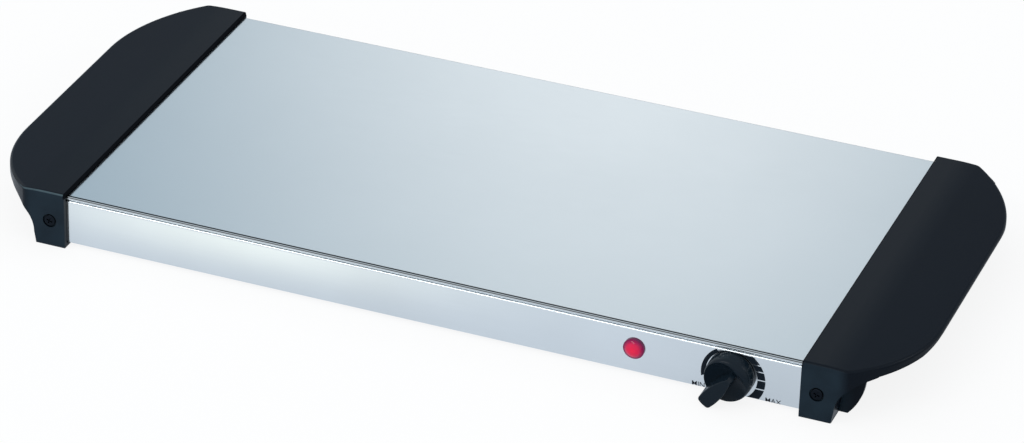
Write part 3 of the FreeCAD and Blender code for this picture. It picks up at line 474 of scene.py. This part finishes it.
zinc_sheet = metal("zinc_sheet", (0.58, 0.60, 0.62), 0.38, along=40.0, across=120.0, depth=0.3, cloud=0.25)
finish(zinc_sheet, "end_walls", "thermostat_frame", "element_clips", "heat_shield", "support_bars")
mill_aluminium = metal("mill_aluminium", (0.82, 0.83, 0.84), 0.36, along=8.0, across=300.0, depth=0.15)
finish(mill_aluminium, "heat_spreader", "clip_rivets")
scaled_sheath = metal(
    "scaled_sheath", (0.20, 0.17, 0.15), 0.45, along=60.0, across=60.0, depth=0.5, cloud=0.4)
finish(scaled_sheath, "heating_element")
finish(moulded("fired_ceramic", (0.80, 0.77, 0.70), 0.55, 0.0008, 0.2), "thermostat_stack")
finish(moulded("fibre_board", (0.62, 0.60, 0.54), 0.9, 0.0015, 0.6, 0.2), "insulation_board")
finish(moulded("natural_nylon", (0.80, 0.78, 0.72), 0.45, 0.001, 0.1), "terminal_block")
finish(moulded("black_nylon", (0.012, 0.012, 0.013), 0.4, 0.0006, 0.2), "cord_gland")
for sleeve, colour, wires in (
    ("brown_sleeve", (0.13, 0.05, 0.025), ("live_wire", "element_feed_wire", "element_lead_wire")),
    ("blue_sleeve", (0.03, 0.11, 0.38), ("neutral_wire",)),
    ("white_sleeve", (0.78, 0.78, 0.76), ("lamp_return_wire", "lamp_feed_wire")),
    ("earth_sleeve", (0.22, 0.42, 0.04), ("earth_wire",)),
):
    finish(moulded(sleeve, colour, 0.5, 0.001, 0.1), *wires)

# The floor, the light and the camera. The table is a white sheet; the room is pale all round, with a soft
# window behind the tray in front of a dark curtain, and the camera stands in front, to the right and above.


def mirrored_table(tree):
    """What mirrors see of the table, painted light and shade: grey * fall(x) + pool * exp(-(dx / reach_x)^2
    - (dy / reach_y)^2), with a painted pool of light before the panel and a painted fall into shade to the
    right of the tray."""
    grey, pool = (0.67, 0.735, 0.82), (0.49, 0.47, 0.35)
    pool_middle, pool_reach = {"X": -0.15, "Y": -0.186}, {"X": 0.13, "Y": 0.031}
    fall_span = (0.10, 0.45)
    falls = [(0, (1, 1, 1, 1)), (0.43, (0.87, 0.87, 0.87, 1)), (1, (0.3, 0.3, 0.3, 1))]
    place = split(tree, object_place(tree))
    squares = []
    for axis, reach in pool_reach.items():
        off = calc(tree, "MULTIPLY_ADD", place[axis], 1 / reach, -pool_middle[axis] / reach)
        squares.append(calc(tree, "MULTIPLY", off, off))
    in_pool = calc(tree, "POWER", math.exp(-1), calc(tree, "ADD", *squares))
    fall = ramp(tree, remap(tree, place["X"], fall_span), falls)
    return calc_3d(tree, "ADD", calc_3d(tree, "SCALE", grey, fall), calc_3d(tree, "SCALE", pool, in_pool))


def table_top():
    """A flat square, z = 0, as far as the side both ways. It is a dull white sheet for all light, mixed
    with its own glow for the camera, and for mirrors with a glow of painted light and shade, by the shares."""
    side, camera_share, mirror_share = 6.0, 0.86, 0.85
    mesh = bpy.data.meshes.new("table_top")
    corners = ((-side, -side, 0), (side, -side, 0), (side, side, 0), (-side, side, 0))
    mesh.from_pydata(corners, [], [(0, 1, 2, 3)])
    made = bpy.data.objects.new("table_top", mesh)
    bpy.context.scene.collection.objects.link(made)
    material, tree, shader = new_material("table_white")
    shader.inputs["Base Color"].default_value = (0.93, 0.93, 0.93, 1)
    shader.inputs["Roughness"].default_value = 0.9
    shader.inputs["Specular IOR Level"].default_value = 0.0
    ray = tree.nodes.new("ShaderNodeLightPath").outputs
    in_mirror = calc(tree, "MAXIMUM", ray["Is Glossy Ray"], ray["Is Transmission Ray"])
    glow = tree.nodes.new("ShaderNodeEmission")
    tree.links.new(mixed(tree, in_mirror, (1, 1, 1, 1), mirrored_table(tree)), glow.inputs["Color"])
    share = calc(
        tree, "ADD",
        calc(tree, "MULTIPLY", ray["Is Camera Ray"], camera_share),
        calc(tree, "MULTIPLY", in_mirror, mirror_share))
    both = tree.nodes.new("ShaderNodeMixShader")
    for socket, source in zip(both.inputs, (share, shader.outputs[0], glow.outputs[0])):
        tree.links.new(source, socket)
    tree.links.new(both.outputs[0], tree.nodes["Material Output"].inputs["Surface"])
    mesh.materials.append(material)


table_top()


def soft_patch(tree, azimuth, elevation, reach):
    """How much of a soft round patch lies in a direction: exp(-(distance to its middle / reach)^2)."""
    turn, rise = math.radians(azimuth), math.radians(elevation)
    middle = (math.sin(turn) * math.cos(rise), math.cos(turn) * math.cos(rise), math.sin(rise))
    direction = tree.nodes.new("ShaderNodeTexCoord").outputs["Generated"]
    away = calc(tree, "DIVIDE", calc_3d(tree, "DISTANCE", direction, middle), reach)
    return calc(tree, "EXPONENT", calc(tree, "MULTIPLY", calc(tree, "POWER", away, 2.0), -1.0))


def room_light():
    """The world: white for the camera, and for all else the wall's level plus each patch's colour times
    its share, never under the darkest. A patch is a colour, its azimuth and elevation, and its reach."""
    wall, darkest = (0.909, 0.956, 0.993), (0.30, 0.30, 0.30)
    window = ((1.68, 1.475, 1.32), -18.9, 25.9, 0.12)
    curtain = ((-1.16, -1.01, -0.907), -20.0, 18.5, 0.44)
    lit_wall = ((0.60, 0.60, 0.60), -52.0, 32.0, 0.25)
    near_doorway = ((-0.28, -0.28, -0.28), 14.0, 30.0, 0.30)
    far_doorway = ((-0.45, -0.45, -0.45), 42.0, 16.0, 0.42)
    world = bpy.data.worlds.new("room")
    bpy.context.scene.world = world
    world.use_nodes = True
    tree = world.node_tree
    tree.nodes.clear()
    total = wall
    for colour, *where in (window, curtain, lit_wall, near_doorway, far_doorway):
        part = calc_3d(tree, "SCALE", colour, soft_patch(tree, *where))
        total = calc_3d(tree, "ADD", total, part)
    seen, room = tree.nodes.new("ShaderNodeBackground"), tree.nodes.new("ShaderNodeBackground")
    seen.inputs["Color"].default_value = (1, 1, 1, 1)
    tree.links.new(calc_3d(tree, "MAXIMUM", total, darkest), room.inputs["Color"])
    camera_ray = tree.nodes.new("ShaderNodeLightPath").outputs["Is Camera Ray"]
    both = tree.nodes.new("ShaderNodeMixShader")
    for socket, source in zip(both.inputs, (camera_ray, room.outputs[0], seen.outputs[0])):
        tree.links.new(source, socket)
    out = tree.nodes.new("ShaderNodeOutputWorld")
    tree.links.new(both.outputs[0], out.inputs["Surface"])


room_light()


def soft_box(name, place, aim, size, power):
    """A rectangular area lamp at a place, facing the point that it aims at."""
    data = bpy.data.lights.new(name, "AREA")
    data.shape = "RECTANGLE"
    data.size, data.size_y = size
    data.energy = power
    lamp = bpy.data.objects.new(name, data)
    bpy.context.scene.collection.objects.link(lamp)
    lamp.location = place
    lamp.rotation_mode = "QUATERNION"
    lamp.rotation_quaternion = (Vector(aim) - Vector(place)).to_track_quat("-Z", "Y")


soft_box("key_lamp", place=(-0.83, -1.5, 1.85), aim=(-0.05, 0, 0), size=(1.6, 0.25), power=9)
soft_box("side_lamp", place=(1.7, 0.7, 0.95), aim=(0.2, 0, 0), size=(0.3, 0.3), power=2)


def photo_camera():
    """A camera turned to the left, dipped and rolled, at a distance from the point that it looks at."""
    turn, dip, roll = math.radians(20.69), math.radians(29.86), math.radians(-1.73)
    target, distance = Vector((0.024, -0.0429, 0.0366)), 2.8975
    sensor_width, frame_width, focal_length = 36.0, 1024, 4520
    ahead = Vector((-math.sin(turn) * math.cos(dip), math.cos(turn) * math.cos(dip), -math.sin(dip)))
    right = Vector((math.cos(turn), math.sin(turn), 0))
    down = ahead.cross(right)
    x = math.cos(roll) * right + math.sin(roll) * down
    y = math.sin(roll) * right - math.cos(roll) * down
    data = bpy.data.cameras.new("photo_camera")
    data.sensor_width = sensor_width
    data.sensor_fit = "HORIZONTAL"
    data.lens = sensor_width * focal_length / frame_width
    data.clip_end = 50
    camera = bpy.data.objects.new("photo_camera", data)
    bpy.context.scene.collection.objects.link(camera)
    place = Matrix((x, y, -ahead)).transposed().to_4x4()
    place.translation = target - ahead * distance
    camera.matrix_world = place
    bpy.context.scene.camera = camera


photo_camera()
bpy.context.scene.view_settings.view_transform = "Standard"
